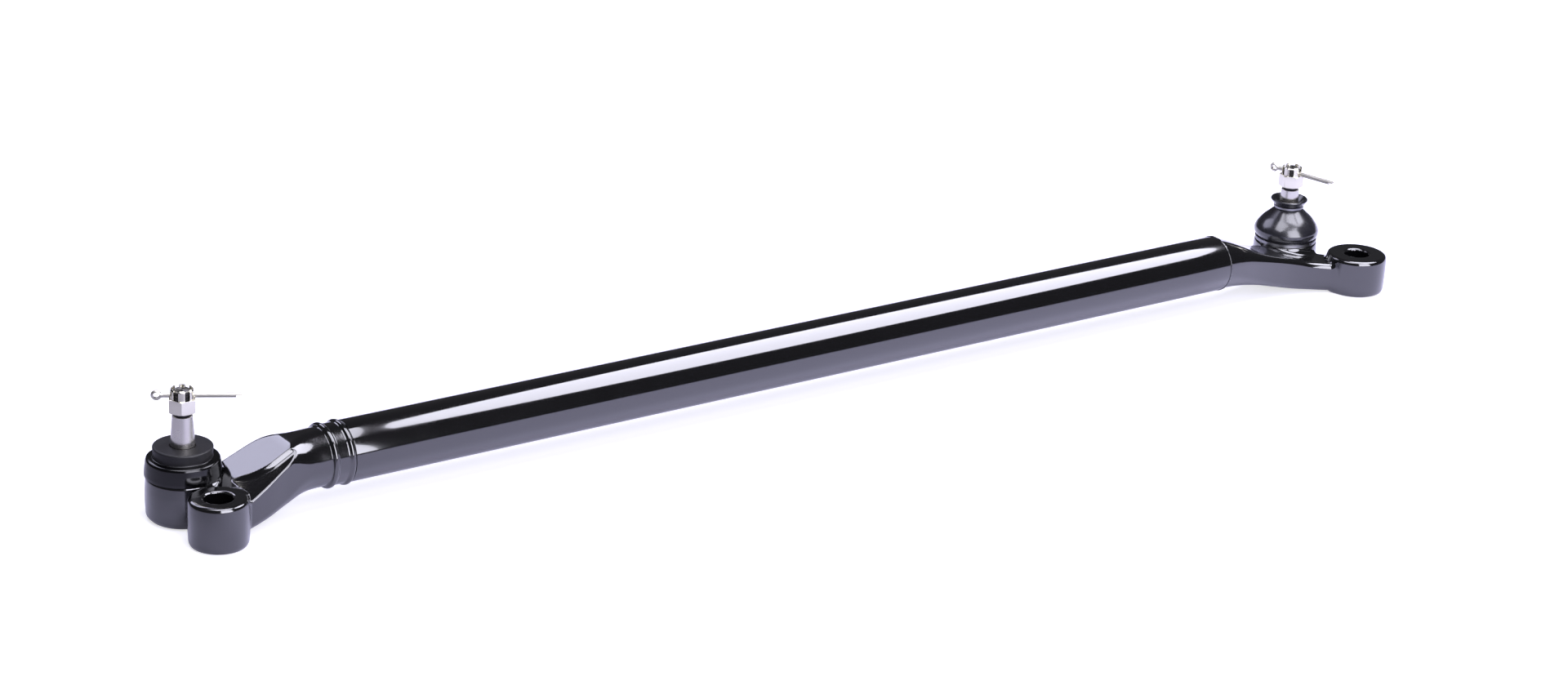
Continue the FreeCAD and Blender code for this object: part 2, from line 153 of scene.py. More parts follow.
def smooth_step(t: np.ndarray) -> np.ndarray:
    """Rise from 0 to 1 as t does, by t squared times three less two t, flat at both ends."""
    t = np.clip(t, 0.0, 1.0)
    return t * t * (3 - 2 * t)


def rounded_outline(corners: list[tuple[float, float]], radius: float | np.ndarray,
                    steps: int = 5) -> np.ndarray:
    """Closed outline whose corners are rounded by short arcs.

    At each corner the outline leaves the two sides at the same distance, radius times the
    tangent of half the turn, at most half of a side, and follows the quadratic curve that has
    the corner as its middle point.

    Args:
        corners: Points (radius, height) of the outline, in order.
        radius: Radius of the rounding, in the unit of the corners, one for all or one for each.
        steps: Points along each rounding.

    Returns:
        Array of points, one row each.
    """
    points = np.array(corners, float)
    before = np.roll(points, 1, axis=0) - points
    after = np.roll(points, -1, axis=0) - points
    long_before = np.linalg.norm(before, axis=1, keepdims=True)
    long_after = np.linalg.norm(after, axis=1, keepdims=True)
    cosine = np.sum(before / long_before * (after / long_after), axis=1, keepdims=True)
    half = (math.pi - np.arccos(np.clip(cosine, -1, 1))) / 2
    wanted = np.reshape(radius, (-1, 1)) * np.tan(half)
    reach = np.minimum(wanted, 0.499 * np.minimum(long_before, long_after))
    start = points + before / long_before * reach
    end = points + after / long_after * reach
    t = np.linspace(0, 1, steps)[None, :, None]
    arcs = (1 - t) ** 2 * start[:, None] + 2 * t * (1 - t) * points[:, None] + t ** 2 * end[:, None]
    return arcs.reshape(-1, 2)


def dense_outline(outline: np.ndarray, spacing: float) -> np.ndarray:
    """Points along a closed outline, no further apart than a spacing.

    The corners stay, and points lie between them at even steps of the length along the outline.

    Args:
        outline: Corners of the outline, one row each.
        spacing: Greatest length between two points.

    Returns:
        Array of points, one row each.
    """
    closed = np.vstack([outline, outline[:1]])
    lengths = np.linalg.norm(np.diff(closed, axis=0), axis=1)
    along = np.concatenate([[0], np.cumsum(lengths)])
    extra = np.arange(0, along[-1], spacing)
    places = np.unique(np.round(np.concatenate([along[:-1], extra]), 7))
    return np.stack([np.interp(places, along, column) for column in closed.T], axis=1)


def mesh_object(name: str, points: np.ndarray, faces: list, sharp: float = 40.0) -> bpy.types.Object:
    """Make a mesh object at the origin, with merged doubles and faces that point outwards.

    Args:
        name: Name of the piece.
        points: Vertices in metres, one row each.
        faces: Corner indices, one face a row.
        sharp: Angle in degrees above which an edge stays sharp.

    Returns:
        The new object, linked to the scene.
    """
    mesh = bpy.data.meshes.new(name)
    mesh.from_pydata(points, [], list(faces))
    work = bmesh.new()
    work.from_mesh(mesh)
    bmesh.ops.remove_doubles(work, verts=work.verts, dist=TOUCHING)
    bmesh.ops.dissolve_degenerate(work, edges=work.edges, dist=NO_LENGTH)
    bmesh.ops.recalc_face_normals(work, faces=work.faces)
    work.to_mesh(mesh)
    work.free()
    mesh.shade_smooth()
    mesh.set_sharp_from_angle(angle=math.radians(sharp))
    return placed(name, mesh)


def grid_faces(rows: int, columns: int, close_rows: bool, close_columns: bool) -> np.ndarray:
    """Quads of a grid of points numbered row by row, joined end to end where it closes.

    Args:
        rows: Number of rows.
        columns: Number of points in a row.
        close_rows: Whether the last row joins the first.
        close_columns: Whether the end of each row joins its start.

    Returns:
        Corner indices, one quad a row.
    """
    row = np.arange(rows if close_rows else rows - 1)[:, None]
    column = np.arange(columns if close_columns else columns - 1)[None, :]
    next_row, next_column = (row + 1) % rows, (column + 1) % columns
    quads = [row * columns + column, row * columns + next_column,
             next_row * columns + next_column, next_row * columns + column]
    return np.stack(np.broadcast_arrays(*quads), axis=-1).reshape(-1, 4)


def turned(name: str, axis: tuple[float, float], outline: np.ndarray, around: int = 160,
           swell: Callable | None = None) -> bpy.types.Object:
    """Body of revolution about an upright axis.

    A point is (x + r cos a, y + r sin a, z), with r and z from the closed outline and a all
    round. swell, where given, changes the arrays of r and z by the angle.

    Args:
        name: Name of the piece.
        axis: x and y of the axis, in metres.
        outline: Closed outline, rows of (radius, height) in metres.
        around: Columns around the axis.
        swell: Function of (r, z, angle) that returns a new r and z.

    Returns:
        The new object.
    """
    angle = np.linspace(0, 2 * math.pi, around, endpoint=False)[None, :]
    r = np.repeat(outline[:, :1], around, axis=1)
    z = np.repeat(outline[:, 1:], around, axis=1)
    if swell is not None:
        r, z = swell(r, z, angle)
    points = np.stack([axis[0] + r * np.cos(angle), axis[1] + r * np.sin(angle), z], axis=-1)
    return mesh_object(name, points.reshape(-1, 3), grid_faces(len(outline), around, True, True).tolist())


def swept(name: str, path: np.ndarray, section: np.ndarray, side: np.ndarray) -> bpy.types.Object:
    """Carry a closed section along a flat open path, with closed ends.

    Each ring is the section drawn on two directions: the fixed side direction, which is square
    to the plane of the path, and the path's own normal there, side cross tangent.

    Args:
        name: Name of the piece.
        path: Points of the path, one row each, in metres.
        section: Rows of (along side, along normal), in metres.
        side: Unit vector square to the plane of the path.

    Returns:
        The new object.
    """
    tangent = np.gradient(path, axis=0)
    tangent /= np.linalg.norm(tangent, axis=1, keepdims=True)
    normal = np.cross(side[None, :], tangent)
    rings = (path[:, None] + section[None, :, :1] * side[None, None, :]
             + section[None, :, 1:] * normal[:, None, :])
    count, corners = len(path), len(section)
    points = np.vstack([rings.reshape(-1, 3), path[:1], path[-1:]])
    ring = np.arange(corners)
    last = (count - 1) * corners + ring
    fans = [np.stack([np.full(corners, count * corners), np.roll(ring, -1), ring], axis=1),
            np.stack([np.full(corners, count * corners + 1), last, np.roll(last, -1)], axis=1)]
    faces = grid_faces(count, corners, False, True).tolist() + np.vstack(fans).tolist()
    return mesh_object(name, points, faces)


Field = Callable[[np.ndarray], np.ndarray]


def join(first: np.ndarray, second: np.ndarray, radius: float) -> np.ndarray:
    """Distance to two forms joined, with a fillet of a radius where they meet.

    Away from the corner it is the lesser distance. Within the radius r of both it is r less
    the length of (r - first, r - second), which is the arc of the fillet.

    Args:
        first: Distance to one form.
        second: Distance to the other.
        radius: Radius of the fillet, in the unit of the distances.

    Returns:
        Distance to the joined form.
    """
    across, along = np.maximum(radius - first, 0), np.maximum(radius - second, 0)
    return np.maximum(radius, np.minimum(first, second)) - np.sqrt(across * across + along * along)


def overlap(first: np.ndarray, second: np.ndarray, radius: float) -> np.ndarray:
    """Distance to what two forms share, with the edge between them rounded, as join's negative."""
    return -join(-first, -second, radius)


def sleeve(above: np.ndarray, out: np.ndarray, ends: tuple[float, float],
           radius: float) -> np.ndarray:
    """Distance to a sleeve: what lies below its surface and between two ends.

    Args:
        above: Height above the sleeve's surface.
        out: Place along the axis.
        ends: Places of the two ends.
        radius: Rounding of its edges.

    Returns:
        Distance of each point, below 0 inside.
    """
    start, end = ends
    return overlap(above, np.abs(out - (start + end) / 2) - (end - start) / 2, radius)


def turned_form(x: np.ndarray, y: np.ndarray, z: np.ndarray, axis: tuple[float, float],
                corners: list[tuple[float, float]], radius: float) -> np.ndarray:
    """Distance to a convex body of revolution about an upright axis.

    Each side of the outline is a line, and the distance to it is the offset from one of its
    corners along the side's outward normal. The sides overlap with rounded edges.

    Args:
        x, y, z: Coordinates of the points, in millimetres.
        axis: x and y of the axis.
        corners: Outline as (radius, height), anticlockwise, from the axis to the axis.
        radius: Rounding of its edges.

    Returns:
        Distance of each point, below 0 inside.
    """
    r = np.hypot(x - axis[0], y - axis[1])
    whole = None
    for (r0, z0), (r1, z1) in zip(corners, corners[1:]):
        length = math.hypot(r1 - r0, z1 - z0)
        side = ((r - r0) * (z1 - z0) - (z - z0) * (r1 - r0)) / length
        whole = side if whole is None else overlap(whole, side, radius)
    return whole


def station_curve(places: np.ndarray, values: np.ndarray) -> np.ndarray:
    """Smooth curve through evenly spaced values, at fractional places.

    Between two values it is the cubic with the slopes of the central differences there.

    Args:
        places: Places in steps between stations, any shape.
        values: Value at each station.

    Returns:
        The curve at each place.
    """
    slope = np.gradient(values)
    first = np.clip(places.astype(int), 0, len(values) - 2)
    t = np.clip(places - first, 0, 1)
    v0, v1, s0, s1 = values[first], values[first + 1], slope[first], slope[first + 1]
    return v0 + t * s0 + t * t * (3 * (v1 - v0) - 2 * s0 - s1) + t ** 3 * (2 * (v0 - v1) + s0 + s1)


def contour(field_of: Field, low: np.ndarray, high: np.ndarray,
            pitch: float) -> tuple[np.ndarray, np.ndarray]:
    """Surface where a distance field is 0.

    Space is cut into cubes. Each cube that the surface passes through gets one point, the mean
    of the places where the field crosses 0 on the cube's edges. Each edge of the lattice that
    the surface crosses gets one quad between the four cubes around it.

    Args:
        field_of: Distance for an array of points.
        low: Lowest corner of the space.
        high: Highest corner of the space.
        pitch: Side of a cube.

    Returns:
        Points, and quads that face outwards.
    """
    axes = [np.arange(low[i], high[i] + pitch, pitch) for i in range(3)]
    shape = tuple(len(a) for a in axes)
    values = np.empty(shape)
    for number, x in enumerate(axes[0]):
        plane = np.stack(np.meshgrid([x], axes[1], axes[2], indexing="ij"), axis=-1)
        values[number] = field_of(plane.reshape(-1, 3)).reshape(shape[1:])
    inside = values < 0
    steps = np.array([(i, j, k) for i in (0, 1) for j in (0, 1) for k in (0, 1)])
    views = [inside[i:shape[0] - 1 + i, j:shape[1] - 1 + j, k:shape[2] - 1 + k] for i, j, k in steps]
    crossed = np.any(views, axis=0) & ~np.all(views, axis=0)
    cells = np.argwhere(crossed)
    number_of = np.full(crossed.shape, -1)
    number_of[crossed] = np.arange(len(cells))
    total, count = np.zeros((len(cells), 3)), np.zeros((len(cells), 1))
    for start in steps:
        for axis in np.flatnonzero(start == 0):
            end = start.copy()
            end[axis] = 1
            v0 = values[tuple((cells + start).T)]
            v1 = values[tuple((cells + end).T)]
            hit = (v0 < 0) != (v1 < 0)
            share = np.where(hit, v0 / np.where(hit, v0 - v1, 1), 0)[:, None]
            total += hit[:, None] * (start + share * (end - start))
            count += hit[:, None]
    points = np.array(low) + (cells + total / count) * pitch
    quads = []
    for axis in range(3):
        second, third = (axis + 1) % 3, (axis + 2) % 3
        step, across, along = np.eye(3, dtype=int)[[axis, second, third]]
        ahead = np.take(inside, range(1, shape[axis]), axis=axis)
        here = np.take(inside, range(shape[axis] - 1), axis=axis)
        edges = np.argwhere(ahead != here)
        edges = edges[(edges[:, second] > 0) & (edges[:, third] > 0)]
        edges = edges[(edges[:, second] < shape[second] - 1) & (edges[:, third] < shape[third] - 1)]
        corners = (0 * step, across, across + along, along)
        ring = np.stack([number_of[tuple((edges - corner).T)] for corner in corners], axis=1)
        solid_first = inside[tuple(edges.T)]
        quads.append(np.where(solid_first[:, None], ring, ring[:, ::-1]))
    return points, np.vstack(quads)


def slope_of(field_of: Field, points: np.ndarray, step: float) -> np.ndarray:
    """Gradient of a field by central differences over a small step."""
    shifts = np.eye(3) * step
    return np.stack([field_of(points + s) - field_of(points - s) for s in shifts], axis=1) / (2 * step)


def field_object(name: str, field_of: Field, low: np.ndarray, high: np.ndarray,
                 pitch: float) -> bpy.types.Object:
    """Mesh of a distance field's surface, with the field's own normals.

    Three times the points of the contour move towards the surface by Newton's rule, by the
    field times its gradient over the gradient's length squared, at most half a cube's side.
    Each normal is the gradient there.

    Args:
        name: Name of the piece.
        field_of: Distance in millimetres for an array of points in millimetres.
        low: Lowest corner of the space, in millimetres.
        high: Highest corner, in millimetres.
        pitch: Side of the contour's cubes, in millimetres.

    Returns:
        The new object, in metres.
    """
    points, faces = contour(field_of, low, high, pitch)
    fine_step, normal_step, least_slope = 0.02, 0.08, 0.1
    for _ in range(3):
        slope = slope_of(field_of, points, fine_step)
        steepness = np.maximum(np.sum(slope * slope, axis=1, keepdims=True), least_slope)
        move = field_of(points)[:, None] * slope / steepness
        points = points - np.clip(move, -pitch / 2, pitch / 2)
    normals = slope_of(field_of, points, normal_step)
    normals /= np.maximum(np.linalg.norm(normals, axis=1, keepdims=True), 1e-9)
    mesh = bpy.data.meshes.new(name)
    mesh.from_pydata(points * MM, [], faces.tolist())
    mesh.shade_smooth()
    mesh.normals_split_custom_set_from_vertices(normals)
    return placed(name, mesh)


def box_axis(node: str) -> tuple[float, float]:
    """Middle of a turned node seen from above, in metres."""
    low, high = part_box(node)
    return (low.x + high.x) / 2, (low.y + high.y) / 2


def dressed_copy(node: str, name: str, bevel: float, segments: int) -> bpy.types.Object:
    """Copy of a CAD node with its flat faces joined up and its edges rounded.

    Args:
        node: The CAD node, which the copy stands for.
        name: Name of the new piece.
        bevel: Width of the rounding of sharp edges, in metres.
        segments: Faces across each rounding.

    Returns:
        The new object, which replaces the node but rides on nothing yet.
    """
    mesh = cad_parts[node].data.copy()
    mesh.name = name
    mesh.materials.clear()
    work = bmesh.new()
    work.from_mesh(mesh)
    bmesh.ops.remove_doubles(work, verts=work.verts, dist=DOUBLES)
    bmesh.ops.dissolve_limit(work, angle_limit=FLAT_ANGLE, verts=work.verts, edges=work.edges)
    bmesh.ops.recalc_face_normals(work, faces=work.faces)
    work.to_mesh(mesh)
    work.free()
    made = placed(name, mesh)
    rounding = made.modifiers.new("edge rounding", "BEVEL")
    rounding.width = bevel
    rounding.segments = segments
    rounding.limit_method = "ANGLE"
    rounding.angle_limit = EDGE_ANGLE
    mesh.shade_smooth()
    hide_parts(node)
    return made


@dataclass(frozen=True)
class Finish:
    """A surface finish: what the material is, and how it was made.

    The sizes of grain, wave and cloud and the heights of the first two are in millimetres.
    mottle is the share by which the colour varies. brushed is the anisotropy of the highlights,
    whose tangent runs round the upright axis. The last field names a vertex attribute, and gives
    the colour and the roughness where it is 1: a smoother, darker band on the left boot, and on
    the stud's thread a darker colour that is painted shade.
    """

    name: str
    colour: str
    roughness: float
    metallic: float = 0.0
    coat: float = 0.0
    coat_roughness: float = 0.03
    ior: float = 1.5
    grain_mm: float = 1.2
    grain_height: float = 0.0
    wave_mm: float = 12.0
    wave_height: float = 0.0
    cloud_mm: float = 25.0
    mottle: float = 0.15
    brushed: float = 0.0
    zone_finish: tuple[str, str, float] | None = None

    def material(self) -> bpy.types.Material:
        """Build the finish as a node material.

        Fine grain and a longer wave are noise on the Object coordinates, whose scale is one
        over the size of a grain in metres. Both feed the bump. A third noise varies the colour
        and the roughness a little, as real surfaces do.

        Returns:
            The material, made once for each finish.
        """
        if self.name in bpy.data.materials:
            return bpy.data.materials[self.name]
        made = bpy.data.materials.new(self.name)
        tree = empty_tree(made)
        place = add_node(tree, "ShaderNodeTexCoord", {}).outputs["Object"]
        grain = add_node(tree, "ShaderNodeTexNoise", {
            "Vector": place, "Scale": 1 / (self.grain_mm * MM), "Detail": 3.0, "Roughness": 0.55})
        wave = add_node(tree, "ShaderNodeTexNoise", {
            "Vector": place, "Scale": 1 / (self.wave_mm * MM), "Detail": 1.0})
        cloud = add_node(tree, "ShaderNodeTexNoise", {
            "Vector": place, "Scale": 1 / (self.cloud_mm * MM), "Detail": 4.0, "Roughness": 0.6})
        base = linear(self.colour)
        dark = tuple(c * (1 - self.mottle) for c in base[:3]) + (1.0,)
        light = tuple(min(1.0, c * (1 + self.mottle)) for c in base[:3]) + (1.0,)
        tint = add_node(tree, "ShaderNodeMix", {0: cloud.outputs["Fac"], 6: dark, 7: light},
                        data_type="RGBA")
        rough = add_node(tree, "ShaderNodeMapRange", {
            "Value": cloud.outputs["Fac"], "From Min": 0.3, "From Max": 0.7,
            "To Min": self.roughness * 0.85, "To Max": self.roughness * 1.2})
        colour, roughness = tint.outputs[2], rough.outputs["Result"]
        # On the stud's thread the colour mixed in here is painted shade.
        if self.zone_finish:
            attribute, dark_colour, smooth = self.zone_finish
            share = add_node(tree, "ShaderNodeAttribute", {}, attribute_name=attribute).outputs["Fac"]
            colour = add_node(tree, "ShaderNodeMix", {0: share, 6: colour, 7: linear(dark_colour)},
                              data_type="RGBA").outputs[2]
            roughness = add_node(tree, "ShaderNodeMix", {0: share, 2: roughness, 3: smooth}).outputs[0]
        wavy = add_node(tree, "ShaderNodeBump", {
            "Height": wave.outputs["Fac"], "Distance": self.wave_height * MM, "Strength": 1.0})
        bump = add_node(tree, "ShaderNodeBump", {
            "Height": grain.outputs["Fac"], "Distance": self.grain_height * MM, "Strength": 1.0,
            "Normal": wavy.outputs["Normal"]})
        shader = add_node(tree, "ShaderNodeBsdfPrincipled", {
            "Base Color": colour, "Roughness": roughness,
            "Normal": bump.outputs["Normal"], "Metallic": self.metallic})
        if self.metallic < 0.5:
            shader.inputs["IOR"].default_value = self.ior
        shader.inputs["Coat Weight"].default_value = self.coat
        shader.inputs["Coat Roughness"].default_value = self.coat_roughness
        if self.brushed:
            around = add_node(tree, "ShaderNodeTangent", {}, direction_type="RADIAL", axis="Z")
            tree.links.new(around.outputs["Tangent"], shader.inputs["Tangent"])
            shader.inputs["Anisotropic"].default_value = self.brushed
        add_node(tree, "ShaderNodeOutputMaterial", {"Surface": shader.outputs["BSDF"]})
        return made


# Chassis black: stoved gloss enamel, sprayed. It mirrors the lights in a deep black.
ENAMEL = Finish("gloss_enamel_on_tube", "#060607", 0.10, coat=1.0, ior=1.8, wave_mm=9.0,
                wave_height=0.012, grain_mm=1.6, grain_height=0.002)
# The same enamel over a hammered forging skin, whose ripple shows in the highlights.
FORGED_ENAMEL = Finish("gloss_enamel_on_forging", "#060607", 0.12, coat=1.0, ior=1.8, wave_mm=7.0,
                       wave_height=0.06, grain_mm=1.4, grain_height=0.03)
# Moulded neoprene: matte on top, as it comes from the mould, and a smooth black band below.
MATTE_RUBBER = Finish("moulded_rubber_matte", "#0a090c", 0.5, grain_mm=0.5, grain_height=0.01, ior=1.5,
                      zone_finish=("polish", "#040405", 0.14))
# Moulded polyurethane with a satin skin, which draws long soft highlights.
SATIN_RUBBER = Finish("moulded_rubber_satin", "#16161b", 0.24, coat=1.0, coat_roughness=0.16,
                      grain_mm=0.8, grain_height=0.004, ior=1.6)
# Turned and ground steel: bright, with fine rings from the tool. In the thread it is rougher, and
# its colour is darkened as painted shade for the nut's deep slots and the groove under the nut.
TURNED_STEEL = Finish("ground_steel_turned", "#cdcac3", 0.24, metallic=1.0, grain_mm=0.35,
                      grain_height=0.002, brushed=0.85, zone_finish=("thread", "#39383a", 0.5))
# Bright zinc plate on cold forged nuts.
ZINC = Finish("bright_zinc_plate", "#e2dfd0", 0.20, metallic=1.0, grain_mm=0.4, grain_height=0.006)
# Drawn wire, a soft grey sheen.
WIRE = Finish("drawn_wire", "#d0cdc2", 0.42, metallic=1.0, grain_mm=0.3, grain_height=0.004)
# Thin oxide on the spring rings, a mid grey.
OXIDISED_STEEL = Finish("oxidised_spring_steel", "#89898c", 0.3, metallic=1.0, grain_mm=0.4,
                        grain_height=0.004)
# Acetal seats, moulded, off-white, inside the housings.
ACETAL = Finish("moulded_acetal", "#d8d4c8", 0.4, grain_mm=0.6, grain_height=0.004, ior=1.48)
# Spring steel, oiled, a clear grey.
SPRING_STEEL = Finish("oiled_spring_steel", "#8d8d92", 0.3, metallic=1.0, grain_mm=0.4,
                      grain_height=0.004)


def mark(piece: bpy.types.Object, name: str, share: Callable[..., np.ndarray]) -> None:
    """Store a share from 0 to 1 at each vertex, for a finish to read.

    Args:
        piece: Object whose mesh gets the attribute.
        name: Name of the attribute.
        share: Function of the arrays x, y and z, in metres.
    """
    points = np.zeros(len(piece.data.vertices) * 3)
    piece.data.vertices.foreach_get("co", points)
    attribute = piece.data.attributes.new(name, "FLOAT", "POINT")
    attribute.data.foreach_set("value", share(*points.reshape(-1, 3).T).astype(np.float32))


def dress(piece: bpy.types.Object, finish: Finish) -> None:
    """Give a piece one finish all over."""
    piece.data.materials.clear()
    piece.data.materials.append(finish.material())


@dataclass
class CenterTube:
    """The drawn tube between the forged ends, with its bore."""

    wall: float = 3.6 * MM
    edge: float = 0.4 * MM
    around: int = 240
    along: int = 24

    def build(self) -> bpy.types.Object:
        """Make the tube: circles about its axis, carried along X, outside and back inside.

        Returns:
            The tube, riding on the link.
        """
        low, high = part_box("center_tube")
        middle_y, middle_z = (low.y + high.y) / 2, (low.z + high.z) / 2
        radius = (high.z - low.z) / 2
        outline = rounded_outline([(low.x, radius), (high.x, radius), (high.x, radius - self.wall),
                                   (low.x, radius - self.wall)], self.edge)
        outline = dense_outline(outline, (high.x - low.x) / self.along)
        angle = np.linspace(0, 2 * math.pi, self.around, endpoint=False)[None, :]
        x = np.repeat(outline[:, :1], self.around, axis=1)
        points = np.stack([x, middle_y + outline[:, 1:] * np.cos(angle),
                           middle_z + outline[:, 1:] * np.sin(angle)], axis=-1)
        piece = mesh_object("drawn_tube", points.reshape(-1, 3),
                            grid_faces(len(outline), self.around, True, True).tolist())
        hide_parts("center_tube")
        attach(piece, "link")
        dress(piece, ENAMEL)
        return piece


@dataclass
class ForgedEnd:
    """A forged end of the link: arm, ball joint housing, eye and spigot, blended into one form.

    Sizes are in millimetres, heights count from the floor, and places along the arm from the
    end of the tube. Each row of the stations gives the arm's top, bottom, front and rear, the
    sides from the tube's axis, and the radius of its corners. Each of the hollows, the lip, the
    seat of the cap and the chamber, is a radius, a foot and a top. Angles are in degrees.
    """

    side: Side
    stations: tuple[tuple[float, ...], ...]
    eye_ahead: float
    eye_offset: float
    eye_radius: float
    eye_height: float
    reach: float
    fillet: float = 4.0
    arm_radius: float = 20.2
    housing_radius: float = 25.8
    housing_height: float = 30.9
    collar_radius: float = 21.0
    collar_height: float = 3.2
    eye_mouth: float = 9.75
    flat_slope: float = 28.0
    flat_start: float = 41.0
    shelf_drop: float = 4.7
    shelf_roll: float = 14.0
    shelf_middle: float = 21.0
    shelf_end: float = 83.5
    wall_front: float = 14.0
    wall_spread: float = 0.0204
    wall_turn: tuple[float, float] = (68.5, -15.4)
    wall_turn_normal: tuple[float, float] = (0.716, -0.698)
    wall_fillet: float = 7.0
    shoulder_length: float = 16.0
    shoulder_step: float = 0.2
    bead_places: tuple[float, float] = (2.5, 15.0)
    bead_radius: float = 2.0
    bead_depth: float = 0.7
    seam_width: float = 1.4
    seam_rise: float = 0.35
    spigot_gap: float = 3.65
    spigot_ends: tuple[float, float] = (-24.0, 2.0)
    hollows: tuple[tuple[float, float, float], ...] = (
        (18.15, -math.inf, 2.0), (19.4, 1.2, 4.2), (16.9, 1.2, 28.3))
    throat_radius: float = 8.6
    throat_foot: float = 20.6
    throat_spread: float = 0.364
    margin: float = 1.5
    pitch: float = 0.8

    def __post_init__(self) -> None:
        """Take the places of the tube and the ball joint from the frame."""
        low, high = (np.array(corner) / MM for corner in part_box("center_tube"))
        self.axis_y, self.axis_z = (low[1] + high[1]) / 2, (low[2] + high[2]) / 2
        self.tube_radius = (high[2] - low[2]) / 2
        self.tube_end = low[0] if self.side is Side.LEFT else high[0]
        self.outward = -1 if self.side is Side.LEFT else 1
        joint = box_axis(self.side.word + "_ball_stud")
        self.joint = (joint[0] / MM, joint[1] / MM)
        self.eye = (self.joint[0] + self.eye_ahead, self.axis_y - self.eye_offset)
        radius = self.arm_radius
        nearly_round = 0.985 * radius
        at_tube = (self.axis_z + radius, self.axis_z - radius, -radius, radius, nearly_round)
        if self.side is Side.LEFT:
            self.rows = np.array([*self.stations, at_tube, at_tube])
        else:
            self.rows = np.array([at_tube, *self.stations])

    def arm(self, x: np.ndarray, y: np.ndarray, z: np.ndarray) -> np.ndarray:
        """Distance to the arm: a rounded rectangle in each cross-section, from the stations.

        Args:
            x, y, z: Coordinates of the points.

        Returns:
            Distance of each point, below 0 inside.
        """
        ends = sorted([self.tube_end, self.tube_end + self.outward * self.reach])
        place = (x - ends[0]) / (ends[1] - ends[0]) * (len(self.rows) - 1)
        top, bottom, front, rear, corner = (station_curve(place, column) for column in self.rows.T)
        across = np.abs(y - self.axis_y - (front + rear) / 2) - (rear - front) / 2 + corner
        upright = np.abs(z - (top + bottom) / 2) - (top - bottom) / 2 + corner
        outside = np.hypot(np.maximum(across, 0), np.maximum(upright, 0))
        section = outside + np.minimum(np.maximum(across, upright), 0) - corner
        return overlap(section, np.abs(x - sum(ends) / 2) - (ends[1] - ends[0]) / 2, 1.5)

    def shape(self, points: np.ndarray) -> np.ndarray:
        """Distance to the whole forging, from its joined forms less its hollows.

        Args:
            points: Rows of x, y and z.

        Returns:
            Distance of each point, below 0 inside.
        """
        x, y, z = points.T
        arm = self.arm(x, y, z)
        if self.side is Side.LEFT:
            flat, wall = self.flat_and_wall(x, y, z)
            roll = math.radians(self.shelf_roll)
            from_middle = y - self.axis_y + self.shelf_middle
            shelf = (flat + self.shelf_drop) * math.cos(roll) - from_middle * math.sin(roll)
            shelf = join(join(shelf, wall, 3.0), self.shelf_end - np.abs(x - self.tube_end), 1.0)
            arm = overlap(arm, overlap(flat, shelf, 0.9), 1.0)
        for axis, radius, height in ((self.joint, self.housing_radius + 0.7, self.housing_height),
                                     (self.eye, self.eye_radius, self.eye_height)):
            above = np.maximum(np.hypot(x - axis[0], y - axis[1]) - radius, height - z)
            arm = overlap(arm, -above, 0.8)
        eye = turned_form(x, y, z, self.eye, [
            (0, 0), (self.eye_radius - 2.6, 0), (self.eye_radius - 1.0, 1.6), (self.eye_radius, 15.0),
            (self.eye_radius - 0.5, self.eye_height - 1.6), (self.eye_radius - 2.1, self.eye_height),
            (0, self.eye_height)], 1.2)
        housing = turned_form(x, y, z, self.joint, [
            (0, 0), (self.housing_radius - 4.1, 0), (self.housing_radius - 0.9, 3.2),
            (self.housing_radius, self.housing_height * 0.55),
            (self.housing_radius - 0.9, self.housing_height - 1),
            (self.housing_radius - 1.9, self.housing_height), (0, self.housing_height)], 0.8)
        whole = join(join(arm, eye, self.fillet), housing, self.fillet)
        collar = turned_form(x, y, z, self.joint, [
            (self.collar_radius, 0), (self.collar_radius, self.housing_height + self.collar_height),
            (0, self.housing_height + self.collar_height)], 0.4)
        whole = join(whole, collar, 0.4)
        whole = self.tube_joint(whole, x, y, z)
        whole = overlap(whole, -self.cavity(x, y, z), 0.3)
        return np.maximum(overlap(whole, -self.bore(x, y, z), 0.6), -z)

    def flat_and_wall(self, x: np.ndarray, y: np.ndarray,
                      z: np.ndarray) -> tuple[np.ndarray, np.ndarray]:
        """Distances below the left arm's sloping flat, and behind the wall at its front edge.

        The flat is a plane that falls towards the housing, from the top of the arm. The wall
        runs along the arm, nearly straight, and then turns back across it.

        Args:
            x, y, z: Coordinates of the points.

        Returns:
            Distance to the flat and distance to the wall, below 0 on the side of the steel.
        """
        slope = math.radians(self.flat_slope)
        along, across = self.tube_end - x, y - self.axis_y
        above_arm = z - self.axis_z - self.arm_radius
        flat = above_arm * math.cos(slope) + (along - self.flat_start) * math.sin(slope)
        straight = -across - self.wall_front - self.wall_spread * along
        back = (self.wall_turn_normal[0] * (along - self.wall_turn[0])
                + self.wall_turn_normal[1] * (across - self.wall_turn[1]))
        return flat, overlap(straight, back, self.wall_fillet)

    def tube_joint(self, whole: np.ndarray, x: np.ndarray, y: np.ndarray, z: np.ndarray) -> np.ndarray:
        """Add the shoulder and weld beads, or the stepped seam, and the spigot in the tube.

        Args:
            whole: Distance to the rest of the forging.
            x, y, z: Coordinates of the points.

        Returns:
            Distance to the forging with its joint to the tube.
        """
        above_tube = np.hypot(y - self.axis_y, z - self.axis_z) - self.tube_radius
        out = (x - self.tube_end) * self.outward
        if self.side is Side.LEFT:
            shoulder = sleeve(above_tube + self.shoulder_step, out, (0.0, self.shoulder_length), 0.3)
            whole = join(whole, shoulder, 0.6)
            for place in self.bead_places:
                bead = np.hypot(above_tube + self.bead_depth, out - place) - self.bead_radius
                whole = join(whole, bead, 0.7)
        else:
            seam = sleeve(above_tube - self.seam_rise, out, (0.0, self.seam_width), 0.3)
            whole = join(whole, seam, 0.5)
        return join(whole, sleeve(above_tube + self.spigot_gap, out, self.spigot_ends, 1.2), 0.2)

